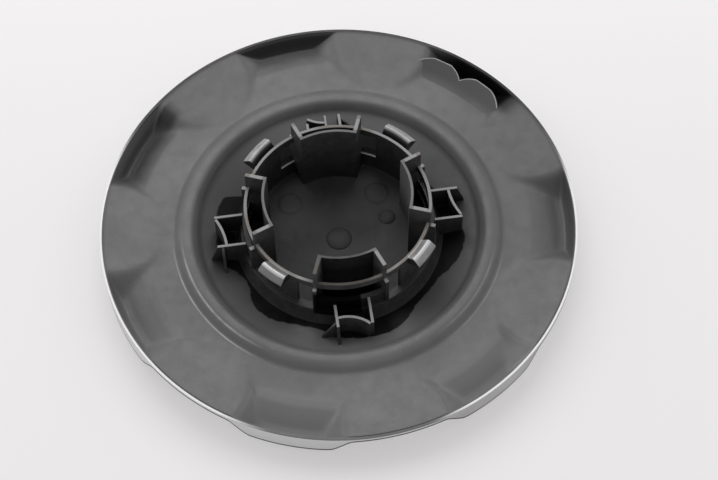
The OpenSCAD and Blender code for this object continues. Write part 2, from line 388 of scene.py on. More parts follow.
coat = {
    "grey": (0.134, 0.134, 0.136),
    "greyLight": (0.146, 0.146, 0.147),
    "greyDark": (0.123, 0.123, 0.125),
    "dish": (0.100, 0.100, 0.101),
    "dishSideShade": (0.050, 0.050, 0.051),
    "steepShade": (0.030, 0.030, 0.031),
    "facetHighlight": (0.26, 0.26, 0.262),
    "highlightLine": (0.34, 0.34, 0.345),
    "rightGrey": (0.094, 0.094, 0.095),
    "leftWall": (0.118, 0.118, 0.119),
    "corner": (0.014, 0.014, 0.0145),
    "nearPocket": (0.190, 0.190, 0.191),
    "hoopTop": (0.205, 0.185, 0.168),
    "land": (0.040, 0.040, 0.041),
    "rimLine": (0.95, 0.95, 0.95),
    "floorDark": (0.036, 0.036, 0.037),
    "floorLight": (0.060, 0.060, 0.061),
    "bareDust": (0.011, 0.0105, 0.0105),
    "sillHighlight": (0.20, 0.20, 0.20),
    "brown": (0.075, 0.068, 0.060),
    "warm": (0.016, 0.0125, 0.010),
    "lowTop": (0.036, 0.036, 0.037),
    "bare": (0.005, 0.005, 0.0053),
    "spray": (0.30, 0.30, 0.305),
    "ringLines": [(54.5, 0.5), (57.6, 0.4)],  # radius and half width of the painted highlight lines
    # how far out the bare plastic reaches: angle in degrees, radius in millimetres
    "edge": [
        (0, 43), (12, 41.5), (30, 37.5), (48, 36.5), (62, 41.5), (118, 41.5), (132, 36.5), (150, 36),
        (158, 40), (166, 43.4), (178, 42.6), (190, 42.6), (200, 41), (209, 37.4), (220, 39.6), (231, 41.8),
        (243, 40.2), (256, 38.9), (268, 41.8), (278, 43), (292, 43.8), (306, 41), (322, 38.8), (338, 41.4),
        (352, 43.8),
    ],
    "edgeSoft": 0.35,
    "edgeRagged": 1.7,
}


# Share of grey coat over the bare plastic, from the ragged edge round the barrel
def coatShare(f):
    smallest, span = 30.0, 20.0  # the curve's 0 to 1 stands for these radii
    curve = f.node("ShaderNodeFloatCurve")
    line = curve.mapping.curves[0]
    stops = [(angle / 360, (radius - smallest) / span) for angle, radius in coat["edge"]]
    stops.append((1.0, stops[0][1]))
    line.points[0].location = stops[0]
    line.points[1].location = stops[-1]
    for x, y in stops[1:-1]:
        line.points.new(x, y)
    curve.mapping.update()
    f.join(f.turns, curve.inputs["Value"])
    edge = f.math("ADD", f.times(curve.outputs[0], span), smallest)
    away = f.shaken(f.math("SUBTRACT", f.at["radius"], edge), f.grain("ragged"), coat["edgeRagged"])
    return f.between(away, -coat["edgeSoft"], coat["edgeSoft"])


# The matt surface that the coat and the moulded plastic share
def startCoat(name):
    f = Finish(name, rough=0.46, specular=0.42)
    f.measure()
    fleck = f.grain("fleck")
    f.rough(f.between(f.grain("matt"), 0.25, 0.8, out=(0.36, 0.56)))
    rise = f.math("ADD", f.times(fleck, 0.6), f.times(f.grain("orangePeel"), 0.8))
    f.bump(rise, strength=0.16, distance=0.00025)
    return f, fleck


def makeGreyCoat():
    f, fleck = startCoat("greyCoat")
    cloud = f.grain("cloud")
    grey = f.mix(f.between(cloud, 0.32, 0.70), coat["greyDark"], coat["greyLight"])
    grey = f.mix(f.times(f.between(fleck, 0.60, 0.78), 0.35), grey, coat["spray"])

    # painted shade: steep walls outside the raised ring, most of all on the far side, are painted dark, and
    # the left pocket's wall a little less; painted highlight: two of the walls are painted light
    steepShade = f.between(f.shaken(f.at["up"], cloud, 0.3), 0.92, 0.55)
    across = f.between(f.absolute(f.at["out"]), 0.42, 0.22)
    wall = f.mix(f.times(across, f.zone("farFacet", "nearFacet")), coat["steepShade"], coat["facetHighlight"])
    wall = f.mix(f.zone("leftPocketWall"), wall, coat["leftWall"])
    grey = f.mix(f.times(steepShade, f.zone("steepWalls")), grey, wall)
    # painted shade: the left pocket's bottom is painted dark, and its corner darker still
    grey = f.mix(f.zone("leftPocketBottom"), grey, coat["steepShade"])
    grey = f.mix(f.zone("leftPocketCorner"), grey, coat["corner"])

    # painted light: in the near pockets, faces that lean outwards or sideways are painted as light as the
    # pads; painted highlight: one pocket ends in a light streak
    slope = f.times(f.zone("outerSlope", "sideSlope"), f.zone("nearPockets"))
    grey = f.mix(slope, grey, coat["nearPocket"])
    highlightStreak = f.times(f.zone("highlightStreak"), f.between(cloud, 0.3, 0.6, out=(0.3, 0.8)))
    grey = f.mix(highlightStreak, grey, coat["highlightLine"])
    # the coat is painted darker on the right, fading out towards the near side
    grey = f.mix(f.zone("rightDarker"), grey, coat["rightGrey"])

    # painted shade: the dish inside the raised ring is painted darker than the coat, darkest at its left and
    # right
    aside = f.between(f.math("DIVIDE", f.absolute(f.at["x"]), f.at["radius"]), 0.35, 0.95)
    dish = f.mix(aside, f.mix(cloud, coat["dish"], coat["greyDark"]), coat["dishSideShade"])
    grey = f.mix(f.zone("dish"), grey, dish)

    # painted highlights: two thin light lines on the raised ring, on its near side, in patches
    lines = f.either(*[f.ringLine(*line) for line in coat["ringLines"]])
    patches = f.between(f.grain("ringLineBreaks"), 0.25, 0.6, out=(0.4, 1.0))
    brighter = f.times(f.zone("ringLinesLeft", "ringLinesRight"), lines, patches)
    grey = f.mix(brighter, grey, coat["highlightLine"])

    # bare plastic round the barrel's foot, lightly powdered; painted shade: behind the key flap the coat is
    # left out, and the barrel's floor is painted darker than the coat
    share = f.times(coatShare(f), f.without(f.zone("behindFlap")))
    powder = f.times(f.zone("powdered"), f.between(f.grain("powder"), 0.35, 0.7))
    bare = f.mix(powder, coat["bare"], coat["bareDust"])
    barrelFloor = f.mix(f.between(cloud, 0.3, 0.7), coat["floorDark"], coat["floorLight"])
    tone = f.mix(f.zone("barrelFloor"), f.mix(share, bare, grey), barrelFloor)
    f.specular(f.between(share, 0.0, 1.0, out=(0.12, 0.42)))

    # painted shade: the rim's flat is painted dark on the far side; painted reflection: its plated corner is
    # painted white on the left and right
    tone = f.mix(f.zone("farLand"), tone, coat["land"])
    rimHighlight = f.zone("rimLeft", "rimNearRight", "rimRightStart", "rimRightEnd")
    f.color(f.mix(f.times(rimHighlight, f.zone("rimCorner")), tone, coat["rimLine"]))
    return f.material


def makeMouldedPlastic():
    f = startCoat("mouldedPlastic")[0]

    # upright faces carry spray dust in random patches; painted shade makes them darker towards their foot,
    # and painted light makes them lighter on the near side
    dustAndShade = f.math("ADD", f.times(f.grain("dustAndShade"), 0.40), 0.02, clamp=True)
    dustAndShade = f.times(dustAndShade, f.between(f.at["height"], 4.0, 31.0, out=(1.2, 3.2)))
    dustAndShade = f.times(dustAndShade, f.between(f.at["y"], -20.0, 0.0, out=(1.35, 1.0)))
    plastic = f.mix(f.between(f.grain("warm"), 0.45, 0.7), coat["bare"], coat["warm"])
    side = f.mix(f.math("MULTIPLY", dustAndShade, 0.55, clamp=True), plastic, coat["grey"])

    # tops are sprayed, the hoop's and the near ones in brown; the sprayed tops are painted much lighter than
    # the coat, partly a painted highlight
    patches = f.between(f.grain("hoopPatch"), 0.42, 0.58)
    sprayed = f.mix(f.times(patches, f.zone("hoopTop")), coat["spray"], coat["hoopTop"])
    sprayed = f.mix(f.zone("nearTops"), sprayed, coat["brown"])

    # painted shade: low sills are painted dark, and the far ones black; painted highlight: a light line along
    # the far ones' inner edge
    sill = f.mix(f.zone("sillEdge"), coat["bare"], coat["sillHighlight"])
    low = f.mix(f.zone("farSide"), coat["lowTop"], sill)
    high = f.times(f.zone("aboveRim"), f.without(f.zone("postSill")))
    lying = f.times(f.zone("lying"), f.without(f.zone("innerWallTop")))
    tone = f.mix(lying, side, f.mix(high, low, sprayed))

    # painted shade: the near post is painted black under the hoop and on its outside; the right post's inner
    # face is dusted
    under = f.zone("underHoop")
    tone = f.mix(under, tone, coat["bare"])
    dusted = f.times(f.zone("rightPostInside"), f.between(f.at["height"], 4.0, 24.0, out=(0.3, 1.0)))
    tone = f.mix(dusted, tone, coat["greyLight"])
    shaded = f.zone("nearPostOutside")
    tone = f.mix(f.times(shaded, 0.8), tone, coat["bare"])
    f.color(f.mix(f.zone("nearRibsOutside"), tone, coat["dish"]))

    # these painted shadows and the far sills are made matt
    matt = f.either(under, f.zone("farSill"), f.times(shaded, 0.7))
    f.specular(f.between(matt, 0.0, 1.0, out=(0.30, 0.02)))
    return f.material


plate = {
    "dark": (0.60, 0.605, 0.61),
    "light": (0.70, 0.705, 0.71),
    "shaded": (0.26, 0.26, 0.262),
}


# Bright plating, darker at the left and right of the rim's outer wall
def makePlate():
    f = Finish("brightPlate", rough=0.08, metal=1.0)
    f.measure()
    haze = f.grain("haze")
    rim = f.zone("plateRim")
    ends = f.times(f.zone("plateLeft", "plateRight", "plateRightEnd"), rim)
    shaded = f.either(ends, f.times(f.zone("plateNearRight"), rim))
    f.color(f.mix(shaded, f.mix(haze, plate["dark"], plate["light"]), plate["shaded"]))
    f.rough(f.between(haze, 0.3, 0.75, out=(0.07, 0.16)))
    f.bump(f.grain("plateWave"), strength=0.05, distance=0.0002)
    return f.material


hookTones = {
    "dark": (0.27, 0.27, 0.275),
    "light": (0.37, 0.37, 0.375),
    "leftNear": (0.19, 0.19, 0.193),
    "crestHighlight": (0.62, 0.62, 0.63),
    "slopeFoot": (0.006, 0.005, 0.004),
    "slopeTop": (0.060, 0.058, 0.056),
    "ends": (0.05, 0.05, 0.05),
    "underside": (0.03, 0.03, 0.031),
}


def makeRubbedHook():
    f = Finish("rubbedHook", rough=0.34, metal=0.35)
    f.measure()
    rub = f.grain("rub")
    near = f.zone("nearHalf")
    tone = f.mix(f.between(rub, 0.36, 0.70), hookTones["dark"], hookTones["light"])
    tone = f.mix(f.zone("leftNearHook"), tone, hookTones["leftNear"])
    # painted highlight: a light line along the crest, strongest on the near half
    crestHighlight = f.times(f.zone("crestHighlight"), f.between(near, 0.0, 1.0, out=(0.25, 1.0)))
    tone = f.mix(crestHighlight, tone, hookTones["crestHighlight"])

    # painted shade: the far hooks' slope towards the hoop is painted dark, and darker still at its foot
    inward = f.times(f.zone("inward"), f.without(near))
    slope = f.mix(f.zone("slopeTop"), hookTones["slopeFoot"], hookTones["slopeTop"])
    tone = f.mix(f.times(inward, f.zone("belowCrest")), tone, slope)
    f.specular(f.between(inward, 0.0, 1.0, out=(0.5, 0.06)))

    # painted shade: the hooks' end faces and undersides are painted dark
    ends = f.times(f.between(f.absolute(f.at["out"]), 0.4, 0.2), f.zone("standing"))
    tone = f.mix(ends, tone, hookTones["ends"])
    f.color(f.mix(f.zone("upperFaces"), hookTones["underside"], tone))
    f.rough(f.between(rub, 0.3, 0.7, out=(0.32, 0.44)))
    f.bump(f.grain("hookGrain"), strength=0.08, distance=0.0002)
    return f.material


def makeEdgeFinish(name, tone, metal, rough):
    f = Finish(name, rough=rough, metal=metal)
    brighter = f.between(f.grain("edgeMottle"), 0.35, 0.65)
    f.color(f.mix(brighter, tuple(c * 0.8 for c in tone), tone))
    f.bump(f.grain("edgeGrain"), strength=0.06, distance=0.0001)
    return f.material


flapTones = {"edge": (0.078, 0.078, 0.079), "foot": (0.142, 0.142, 0.144)}


# painted shade: the key flap's face is painted darker than the coat along its edge, and coat grey at its foot
def makeFlapCoat():
    f = Finish("flapCoat", rough=0.5, specular=0.4)
    f.measure()
    full = f.between(f.shaken(f.at["height"], f.grain("flapCloud"), 1.6), 10.6, 8.2)
    f.color(f.mix(full, flapTones["edge"], flapTones["foot"]))
    f.bump(f.grain("orangePeel"), strength=0.12, distance=0.0002)
    return f.material


# painted shade: the first finish is the dark line at the rim's foot; painted highlight: the second is the
# light lip of the key flap
darkEdge = makeEdgeFinish("darkEdge", (0.022, 0.022, 0.023), metal=0.2, rough=0.45)
highlightEdge = makeEdgeFinish("highlightEdge", (0.42, 0.42, 0.425), metal=0.3, rough=0.4)
greyCoat = makeGreyCoat()
mouldedPlastic = makeMouldedPlastic()
flapCoat = makeFlapCoat()
brightPlate = makePlate()
rubbedHook = makeRubbedHook()
print("finishes made")

disc = {
    "rim": 82.5,
    "scallops": 7,
    "scallopAt": 81.0,
    "scallopRadius": 17.4,
    "flare": 1.03,
    "faceShrink": 3.5,  # how much smaller the scallops are on the face
    "columns": 448,
    "sharpAngle": 50,
    # how softly one form runs into the next
    "padBlend": 0.8,
    "pocketBlend": 1.1,
    "beadBlend": 0.6,
    "hollowBlend": 0.6,
    "faceBlend": 0.8,
    # the rim's outer wall: a painted shadow line at its foot, then plating up to the coat's land
    "darkFrom": 0.35,
    "darkTo": 1.2,
    "wallTop": 12.36,
    "land": [(82.46, 12.45), (82.38, 12.49), (82.28, 12.5), (81.58, 12.5), (81.46, 12.48)],
    # first radius, last radius and number of the rings of points
    "faceRings": [
        (1.5, 25.5, 8), (25.9, 32.5, 10), (34, 50, 9), (51, 56, 13), (57.5, 80, 24), (80.6, 82.2, 4),
    ],
    "backRings": [
        (81.38, 78.4, 14), (78.0, 74.0, 9), (73.3, 58.6, 24), (58.0, 48.6, 44), (48.0, 37, 14),
        (36.4, 29.6, 16), (27.5, 1.5, 12),
    ],
}

pocketLine = softLine(0.32, [
    (0, floorHeight), (30.5, floorHeight), (33, 4.0), (36.4, 4.7), (49.3, 8.6), (51, 9.1), (57.2, 9.4),
    (62, 9.2), (67, 9.25), (70, 8.8), (73, 7.5), (76.5, 5.8), (78.9, 5.4), (80.2, 7.4),
    (81.4, rimHeight), (90, rimHeight),
])
padLine = softLine(0.5, [(0, 4.0), (57.8, 8.6), (60.5, 8.95), (80.9, 12.42), (81.9, 12.49), (90, 12.49)])
beadLine = softLine(0.4, [
    (0, -20), (47.2, 4.0), (48.6, 8.6), (49.8, 10.4), (50.7, 11.45), (51.7, 11.8), (53.4, 11.75),
    (54.4, 11.45), (55.4, 10.95), (56.4, 10.1), (57.3, 9.15), (58.4, 7.7), (90, -20),
])
faceLine = softLine(0.22, [
    (0, 0.6), (26, 0.6), (26.2, 0), (30, 0), (32.4, 0.5), (49, 6.1), (51.6, 6.6), (52.2, 7.9), (53.2, 8.6),
    (54.2, 7.9), (54.8, 6.65), (57.4, 6.8), (80.9, 3.5), (82.0, 3.8), (82.5, 4.4), (90, 4.4),
])
hollowLine = softLine(0.4, [(0, 4.0), (59.6, 6.55), (81.3, 10.1), (90, 10.6)])


# Height of the cone that bounds the nearest scallop, shrunk inwards
def coneHeight(r, a, shrink):
    step = 2 * math.pi / disc["scallops"]
    away = np.mod(a, step) - step / 2
    d = np.hypot(r * np.cos(away) - disc["scallopAt"], r * np.sin(away))
    return rimHeight - (d - disc["scallopRadius"] + shrink) / disc["flare"]


def backHeight(r, a):
    pads = smoothMin(padLine(r), coneHeight(r, a, 0.0), disc["padBlend"])
    z = smoothMax(pocketLine(r), pads, disc["pocketBlend"])
    return smoothMax(z, beadLine(r), disc["beadBlend"])


def faceHeight(r, a):
    hollows = smoothMin(hollowLine(r), coneHeight(r, a, disc["faceShrink"]), disc["hollowBlend"])
    return smoothMax(faceLine(r), hollows, disc["faceBlend"])


def ringRadii(runs):
    return np.concatenate([np.linspace(*run) for run in runs])


# The disc as rings of points, from the middle of the face over the rim to the barrel's floor
def makeDisc():
    plated, coated, dark = 0, 1, 2
    cols = disc["columns"]
    angles = np.linspace(0, 2 * math.pi, cols, endpoint=False) + math.pi / disc["scallops"]
    rings = [(r, faceHeight(np.full(cols, r), angles), plated) for r in ringRadii(disc["faceRings"])]
    rim = disc["rim"]
    foot = faceHeight(np.full(cols, rim - 0.1), angles)
    rings.append((rim, foot + disc["darkFrom"], dark))
    rings.append((rim, foot + disc["darkTo"], dark))
    for t in (0.5, 0.95, 1.0):
        rings.append((rim, (foot + disc["darkTo"]) * (1 - t) + disc["wallTop"] * t, plated))
    rings += [(r, np.full(cols, z), coated) for r, z in disc["land"]]
    rings += [(r, backHeight(np.full(cols, r), angles), coated) for r in ringRadii(disc["backRings"])]

    points = [(0, 0, float(rings[0][1].mean()))]
    for r, z, slot in rings:
        points += list(zip(r * np.cos(angles), r * np.sin(angles), z))
    points.append((0, 0, float(rings[-1][1].mean())))

    faces, faceSlots = [], []
    for j in range(cols):
        faces.append((0, 1 + (j + 1) % cols, 1 + j))
        faceSlots.append(plated)
    for i in range(len(rings) - 1):
        base, above = 1 + i * cols, 1 + (i + 1) * cols
        for j in range(cols):
            k = (j + 1) % cols
            faces.append((base + j, base + k, above + k, above + j))
            faceSlots.append(rings[i + 1][2])
    base, top = 1 + (len(rings) - 1) * cols, len(points) - 1
    for j in range(cols):
        faces.append((base + j, base + (j + 1) % cols, top))
        faceSlots.append(coated)
    made = makePiece("scallopedDisc", points, faces, [brightPlate, greyCoat, darkEdge], faceSlots)
    made.data.set_sharp_from_angle(angle=math.radians(disc["sharpAngle"]))
    return made


scallopedDisc = makeDisc()
print("disc made:", len(scallopedDisc.data.polygons), "faces")

barrel = {
    "radius": 32.1,
    "wall": 1.2,
    "foot": 2.2,
    "windowFoot": 9.5,
    "windowTop": 21.5,
    "top": 24.5,
    "windowHalf": 32.8,
    "firstPost": -45.0,
    "windowCells": 25,
    "fingerCells": 11,
    "collar": [(31.3, 3.5), (36.6, 4.4), (35.6, 5.6), (34.4, 8.5), (34.0, 9.7), (31.4, 9.7)],
    "collarSteps": 160,
    "edge": 0.22,
}


# The barrel's wall as cells in angle and height; the windows are the cells left out
def makeBarrelWall():
    half = barrel["windowHalf"]
    stops, inWindow = [], []
    for i in range(4):
        middle = barrel["firstPost"] + 90 * i
        stops += list(np.linspace(middle - half, middle + half, barrel["windowCells"], endpoint=False))
        stops += list(np.linspace(middle + half, middle + 90 - half, barrel["fingerCells"], endpoint=False))
        inWindow += [True] * barrel["windowCells"] + [False] * barrel["fingerCells"]
    levels = [barrel[key] for key in ("foot", "windowFoot", "windowTop", "top")]
    n, m = len(stops), len(levels)
    points = []
    for radius in (barrel["radius"] - barrel["wall"], barrel["radius"]):
        for a in np.radians(stops):
            points += [(radius * math.cos(a), radius * math.sin(a), z) for z in levels]

    # number of a point: 0 inside or 1 outside, column, level
    def at(side, j, k):
        return side * n * m + (j % n) * m + k

    def filled(j, k):
        return 0 <= k < m - 1 and not (k == 1 and inWindow[j % n])

    faces = []
    for j in range(n):
        for k in range(m - 1):
            if not filled(j, k):
                continue
            faces.append((at(1, j, k), at(1, j + 1, k), at(1, j + 1, k + 1), at(1, j, k + 1)))
            faces.append((at(0, j, k), at(0, j, k + 1), at(0, j + 1, k + 1), at(0, j + 1, k)))
            if not filled(j, k + 1):
                faces.append((at(0, j, k + 1), at(1, j, k + 1), at(1, j + 1, k + 1), at(0, j + 1, k + 1)))
            if not filled(j, k - 1):
                faces.append((at(0, j, k), at(0, j + 1, k), at(1, j + 1, k), at(1, j, k)))
            if not filled(j + 1, k):
                faces.append((at(0, j + 1, k), at(0, j + 1, k + 1), at(1, j + 1, k + 1), at(1, j + 1, k)))
            if not filled(j - 1, k):
                faces.append((at(0, j, k), at(1, j, k), at(1, j, k + 1), at(0, j, k + 1)))
    shells = Shells()
    shells.add(points, faces)
    shells.lathe(barrel["collar"], barrel["collarSteps"])
    return shells.piece("barrelWall", [mouldedPlastic], barrel["edge"])


barrelWall = makeBarrelWall()

post = {
    "radius": 24.7,
    "innerWall": 1.0,
    "sideWall": 1.4,
    "half": 21.3,
    "foot": 2.0,
    "top": 31.2,
    "neckRadius": 32.3,
    "earRadius": 34.0,
    "earFoot": 3.2,
    "earTop": 22.3,
    "sill": (31.3, 33.0, 9.0, 15.5),  # inner and outer radius, foot and top
    "lower": 0.06,  # the inner wall ends this much below the side walls
    "inset": 0.04,
    "steps": 16,
    "edge": 0.2,
}


# Inner wall, sill and two side walls, whose ears reach out past the hoop
def makePost():
    p = post
    shells = Shells()
    innerWall = upright(p["radius"], p["radius"] + p["innerWall"], p["foot"], p["top"] - p["lower"])
    for section in (innerWall, upright(*p["sill"])):
        shells.sweep(section, -p["half"], p["half"], p["steps"])
    inner = p["radius"] + p["inset"]
    outline = [
        (inner, p["foot"]), (p["earRadius"], p["earFoot"]), (p["earRadius"], p["earTop"]),
        (p["neckRadius"], p["earTop"]), (p["neckRadius"], p["top"]), (inner, p["top"]),
    ]
    for side in (-1, 1):
        shells.plate(outline, 0.0, p["sideWall"], turn=side * p["half"])
    return shells.piece("post", [mouldedPlastic], p["edge"], turn=0)


hook = {
    "farHalf": 9.2,
    "nearHalf": 7.8,
    "farFirst": -0.5,
    "farStep": 90.5,
    "nearFirst": 178.9,
    "nearStep": 93.2,
    # corners as distance out from the hoop and height over its top
    "section": [
        (-0.9, -3.4), (0.0, -3.4), (4.85, -1.05), (5.0, -0.6), (4.8, -0.1), (2.75, 1.6), (2.1, 1.75),
        (-0.1, 0.05), (-0.9, -0.05),
    ],
    "steps": 14,
    "edge": 0.38,
}


def makeHook(half):
    section = [(barrel["radius"] + r, barrel["top"] + z) for r, z in hook["section"]]
    shells = Shells()
    shells.sweep(section, -half, half, hook["steps"])
    return shells.piece("hook", [rubbedHook], hook["edge"], segments=3, turn=0)


rib = {
    "inner": 32.4,
    "reach": 42.4,
    "off": 5.8,  # from the pair's middle line
    "thick": 1.0,
    "foot": 5.0,
    "tipFoot": 6.6,
    "top": 15.5,
    "toe": (2.8, 6.9),  # how much longer the braced rib's foot is, and its height
    "shorter": 2.6,  # the far pair's other rib
    "mid": {"off": -0.8, "thick": 0.8, "longer": 0.3, "higher": 0.05},
    "wallFoot": 5.2,
    "wallLower": 0.05,
    "brace": {"from": 40.1, "to": 41.1, "width": 5.2, "tipHigh": 6.6, "tipLow": 5.8, "foot": 5.4},
    # cross wall: where the arc is looked for, then each arc's centre (distance, offset) and radius
    "arcSweep": (100, 260, 65),
    "sideArc": (64.2, 6.45, 25.0),
    "farArc": (51.0, 1.5, 11.6),
    "nearArc": (50.4, 3.5, 11.6),
    "edge": 0.16,
}


# Two ribs, a thin third one at the far side, a curved cross wall between them, a corner brace
def makeRibs(side, name, arc, midRib=False, turn=0):
    b, mid, brace = rib, rib["mid"], rib["brace"]
    shells = Shells()
    for s in (-1, 1):
        tip = b["reach"] - (b["shorter"] if midRib and s != side else 0)
        foot = (b["reach"] + b["toe"][0], b["toe"][1]) if s == side else (tip, b["tipFoot"])
        outline = [(b["inner"], b["foot"]), foot, (tip, b["top"]), (b["inner"], b["top"])]
        shells.plate(outline, s * b["off"], b["thick"])
    if midRib:
        top = b["top"] + mid["higher"]
        foot = (b["reach"] + mid["longer"], b["tipFoot"])
        outline = [(b["inner"], b["foot"]), foot, (b["reach"], top), (b["inner"], top)]
        shells.plate(outline, mid["off"], mid["thick"])

    centre, offset, radius = arc
    points = []
    for a in np.radians(np.linspace(*b["arcSweep"])):
        c, s = math.cos(a), math.sin(a)
        y = side * offset + radius * s
        between = abs(y) <= b["off"] + 0.1 and not (midRib and y < mid["off"] - 0.1)
        if between and centre + radius * c < b["reach"] + 0.2:
            near, far = radius - b["thick"] / 2, radius + b["thick"] / 2
            for r, z in upright(near, far, b["wallFoot"], b["top"] - b["wallLower"]):
                points.append((centre + r * c, side * offset + r * s, z))
    last = len(points) // 4 - 1
    faces = [(0, 1, 2, 3), (last * 4 + 3, last * 4 + 2, last * 4 + 1, last * 4)]
    for j in range(last):
        for i in range(4):
            k = (i + 1) % 4
            faces.append((j * 4 + i, (j + 1) * 4 + i, (j + 1) * 4 + k, j * 4 + k))
    shells.add(points, faces)

    y0 = side * (b["off"] + b["thick"] / 2 - 0.1)
    y1 = y0 + side * brace["width"]
    points = []
    for x in (brace["from"], brace["to"]):
        points += [(x, y0, b["top"]), (x, y1, brace["tipHigh"])]
        points += [(x, y1, brace["tipLow"]), (x, y0, brace["foot"])]
    faces = [(0, 1, 2, 3), (7, 6, 5, 4)] + [(i, 4 + i, 4 + (i + 1) % 4, (i + 1) % 4) for i in range(4)]
    shells.add(points, faces)
    return shells.piece(name, [mouldedPlastic], b["edge"], turn=turn)


# A node tree that repeats a part round the cap's axis
def makeRoundRepeat():
    tree = bpy.data.node_groups.new("roundRepeat", "GeometryNodeTree")
    inputs = {
        "Part": "Geometry",
        "Copies": "Int",
        "First Angle": "Float",
        "Step Angle": "Float",
        "Finish": "Material",
    }
    for name, kind in inputs.items():
        tree.interface.new_socket(name, in_out="INPUT", socket_type="NodeSocket" + kind)
    tree.interface.new_socket("Ring", in_out="OUTPUT", socket_type="NodeSocketGeometry")
    new, link = tree.nodes.new, tree.links.new
    start, end = new("NodeGroupInput"), new("NodeGroupOutput")
    line = new("GeometryNodeMeshLine")
    line.inputs["Offset"].default_value = (0, 0, 0)
    link(start.outputs["Copies"], line.inputs["Count"])
    index = new("GeometryNodeInputIndex")
    turn = new("ShaderNodeMath")
    turn.operation = "MULTIPLY_ADD"
    link(index.outputs[0], turn.inputs[0])
    link(start.outputs["Step Angle"], turn.inputs[1])
    link(start.outputs["First Angle"], turn.inputs[2])
    euler = new("ShaderNodeCombineXYZ")
    link(turn.outputs[0], euler.inputs["Z"])
    copies = new("GeometryNodeInstanceOnPoints")
    link(line.outputs["Mesh"], copies.inputs["Points"])
    link(start.outputs["Part"], copies.inputs["Instance"])
    link(euler.outputs[0], copies.inputs["Rotation"])
    real = new("GeometryNodeRealizeInstances")
    link(copies.outputs[0], real.inputs[0])
    paint = new("GeometryNodeSetMaterial")
    link(real.outputs[0], paint.inputs["Geometry"])
    link(start.outputs["Finish"], paint.inputs["Material"])
    link(paint.outputs[0], end.inputs["Ring"])
    return tree


roundRepeat = makeRoundRepeat()


# Turns a part into a plain mesh of its copies, first angle and step in degrees
def repeatRound(part, name, copies, first, step, finish):
    modifier = part.modifiers.new("repeat", "NODES")
    modifier.node_group = roundRepeat
    sockets = {s.name: s.identifier for s in roundRepeat.interface.items_tree if s.in_out == "INPUT"}
    modifier[sockets["Copies"]] = copies
    modifier[sockets["First Angle"]] = math.radians(first)
    modifier[sockets["Step Angle"]] = math.radians(step)
    modifier[sockets["Finish"]] = finish
    graph = bpy.context.evaluated_depsgraph_get()
    mesh = bpy.data.meshes.new_from_object(part.evaluated_get(graph), depsgraph=graph)
    mesh.name = name
    made = bpy.data.objects.new(name, mesh)
    scene.collection.objects.link(made)
    part.modifiers.clear()
    bpy.data.objects.remove(part)
    return made


def makeHooks(name, half, first, step):
    return repeatRound(makeHook(half), name, 2, capTurn + first, step, rubbedHook)


firstPost = capTurn + barrel["firstPost"]
posts = repeatRound(makePost(), "posts", 4, firstPost, 90, mouldedPlastic)
farHooks = makeHooks("farHooks", hook["farHalf"], hook["farFirst"], hook["farStep"])
nearHooks = makeHooks("nearHooks", hook["nearHalf"], hook["nearFirst"], hook["nearStep"])
sideRib = makeRibs(1, "sideRib", rib["sideArc"])
sideRibs = repeatRound(sideRib, "sideRibs", 2, firstPost, 180, mouldedPlastic)
farRibs = makeRibs(-1, "farRibs", rib["farArc"], midRib=True, turn=firstPost + 90)
nearRibs = makeRibs(-1, "nearRibs", rib["nearArc"], turn=firstPost + 270)
print("barrel made")

flap = {
    "turn": 1.1,  # from the cap's own turn
    "lobeAt": 67.4,
    "lobeRadius": 10.5,
    "lobeHalf": 6.35,  # from the flap's middle to a lobe's, in degrees
    "spread": 1.18,  # the lobes' outer halves are wider by this
    "foot": 66.5,
    "footHeight": 7.3,
    "edge": 77.5,
    "slope": 0.472,
    "thick": 1.2,
    "lip": 0.34,
    "leastReach": 0.8,
    "lobesFrom": 1.0,  # height of the lobes' ends over the foot, along the flap
    "backOut": 0.43,  # the back's offset, in thicknesses
    "backDown": 0.9,
    "round": 0.1,
}


